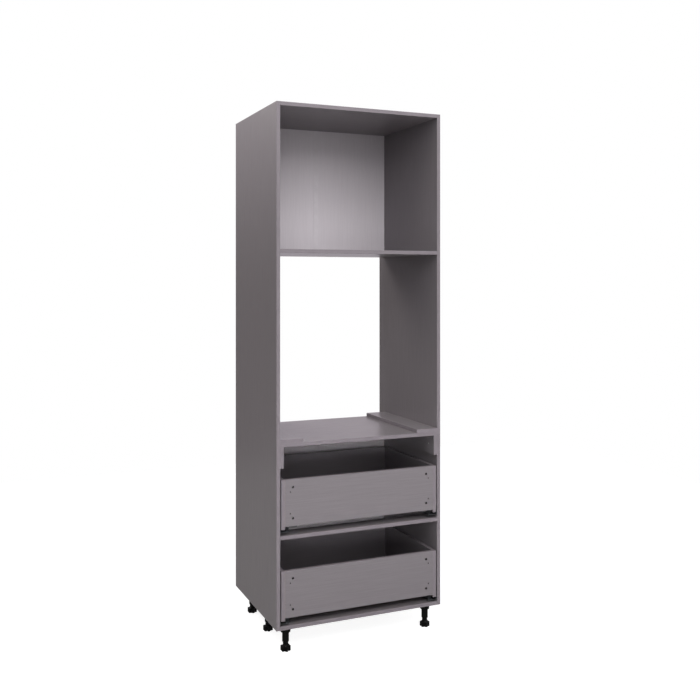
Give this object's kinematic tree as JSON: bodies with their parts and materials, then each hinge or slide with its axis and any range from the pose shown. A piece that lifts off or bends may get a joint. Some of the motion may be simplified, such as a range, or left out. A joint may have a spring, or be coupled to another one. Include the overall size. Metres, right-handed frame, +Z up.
{
  "type": "tall oven housing unit",
  "caption": "Tall board carcass on levelling legs, with an upper compartment, an open niche for a built-in oven and drawer boxes on concealed full-extension runners.",
  "frame": {"origin": "on the floor under the middle of the carcass, midway between its front and rear edges", "axes": "+X to the right as seen from the front, +Y towards the wall, +Z up"},
  "size_m": [0.762, 0.6032, 2.2733],
  "materials": {
    "carcass_board": "warm grey melamine-faced board, satin, with matching edge band",
    "back_board": "pale grey faced back board, satin",
    "drawer_board": "warm grey melamine-faced board, satin",
    "dowel_wood": "plain beech",
    "leg_plastic": "black moulded plastic",
    "zinc_fitting": "zinc-plated",
    "runner_steel": "zinc-plated rolled steel",
    "clip_plastic": "mid grey moulded plastic"
  },
  "bodies": {
    "carcass": {"left_side_panel": "carcass_board", "right_side_panel": "carcass_board", "top_panel": "carcass_board", "bottom_panel": "carcass_board", "niche_shelf": "carcass_board", "oven_deck": "carcass_board", "cross_rail": "carcass_board", "left_oven_packer": "carcass_board", "right_oven_packer": "carcass_board", "left_deck_batten": "carcass_board", "right_deck_batten": "carcass_board", "upper_back_left": "back_board", "upper_back_right": "back_board", "upper_back_joint": "back_board", "lower_back_left": "back_board", "lower_back_right": "back_board", "lower_back_joint": "back_board", "carcass_dowels": "dowel_wood", "cam_fittings": "zinc_fitting", "carcass_screws": "zinc_fitting", "leg_sockets_front": "leg_plastic", "leg_sockets_middle": "leg_plastic", "leg_sockets_rear": "leg_plastic", "leg_tubes_front": "leg_plastic", "leg_tubes_middle": "leg_plastic", "leg_tubes_rear": "leg_plastic", "upper_left_rail": "runner_steel", "upper_right_rail": "runner_steel", "lower_left_rail": "runner_steel", "lower_right_rail": "runner_steel"},
    "upper_drawer": {"upper_drawer_left_side": "drawer_board", "upper_drawer_right_side": "drawer_board", "upper_drawer_front": "drawer_board", "upper_drawer_back": "drawer_board", "upper_drawer_bottom": "drawer_board", "upper_drawer_dowels": "dowel_wood", "upper_drawer_clips": "clip_plastic", "upper_left_drawer_member": "runner_steel", "upper_right_drawer_member": "runner_steel"},
    "lower_drawer": {"lower_drawer_left_side": "drawer_board", "lower_drawer_right_side": "drawer_board", "lower_drawer_front": "drawer_board", "lower_drawer_back": "drawer_board", "lower_drawer_bottom": "drawer_board", "lower_drawer_dowels": "dowel_wood", "lower_drawer_clips": "clip_plastic", "lower_left_drawer_member": "runner_steel", "lower_right_drawer_member": "runner_steel"},
    "upper_left_middle": {"upper_left_middle_member": "runner_steel"},
    "upper_right_middle": {"upper_right_middle_member": "runner_steel"},
    "lower_left_middle": {"lower_left_middle_member": "runner_steel"},
    "lower_right_middle": {"lower_right_middle_member": "runner_steel"},
    "foot_front_left": {"leg_foot_front_left": "leg_plastic"},
    "foot_front_right": {"leg_foot_front_right": "leg_plastic"},
    "foot_middle_left": {"leg_foot_middle_left": "leg_plastic"},
    "foot_middle_right": {"leg_foot_middle_right": "leg_plastic"},
    "foot_rear_left": {"leg_foot_rear_left": "leg_plastic"},
    "foot_rear_right": {"leg_foot_rear_right": "leg_plastic"}
  },
  "joints": [
    {"name": "upper_drawer_slide", "type": "slide", "parent": "carcass", "child": "upper_drawer", "axis": [0, -1, 0], "range_m": [0, 0.5]},
    {"name": "lower_drawer_slide", "type": "slide", "parent": "carcass", "child": "lower_drawer", "axis": [0, -1, 0], "range_m": [0, 0.5]},
    {"name": "upper_left_middle_slide", "type": "slide", "parent": "carcass", "child": "upper_left_middle", "axis": [0, -1, 0], "range_m": [0, 0.25]},
    {"name": "upper_right_middle_slide", "type": "slide", "parent": "carcass", "child": "upper_right_middle", "axis": [0, -1, 0], "range_m": [0, 0.25]},
    {"name": "lower_left_middle_slide", "type": "slide", "parent": "carcass", "child": "lower_left_middle", "axis": [0, -1, 0], "range_m": [0, 0.25]},
    {"name": "lower_right_middle_slide", "type": "slide", "parent": "carcass", "child": "lower_right_middle", "axis": [0, -1, 0], "range_m": [0, 0.25]},
    {"name": "foot_front_left_thread", "type": "slide", "parent": "carcass", "child": "foot_front_left", "axis": [0, 0, -1], "range_m": [-0.012, 0.025]},
    {"name": "foot_front_right_thread", "type": "slide", "parent": "carcass", "child": "foot_front_right", "axis": [0, 0, -1], "range_m": [-0.012, 0.025]},
    {"name": "foot_middle_left_thread", "type": "slide", "parent": "carcass", "child": "foot_middle_left", "axis": [0, 0, -1], "range_m": [-0.012, 0.025]},
    {"name": "foot_middle_right_thread", "type": "slide", "parent": "carcass", "child": "foot_middle_right", "axis": [0, 0, -1], "range_m": [-0.012, 0.025]},
    {"name": "foot_rear_left_thread", "type": "slide", "parent": "carcass", "child": "foot_rear_left", "axis": [0, 0, -1], "range_m": [-0.012, 0.025]},
    {"name": "foot_rear_right_thread", "type": "slide", "parent": "carcass", "child": "foot_rear_right", "axis": [0, 0, -1], "range_m": [-0.012, 0.025]}
  ],
  "couplings": [
    {"joint": "upper_left_middle_slide", "follows": "upper_drawer_slide", "ratio": 0.5},
    {"joint": "upper_right_middle_slide", "follows": "upper_drawer_slide", "ratio": 0.5},
    {"joint": "lower_left_middle_slide", "follows": "lower_drawer_slide", "ratio": 0.5},
    {"joint": "lower_right_middle_slide", "follows": "lower_drawer_slide", "ratio": 0.5}
  ]
}
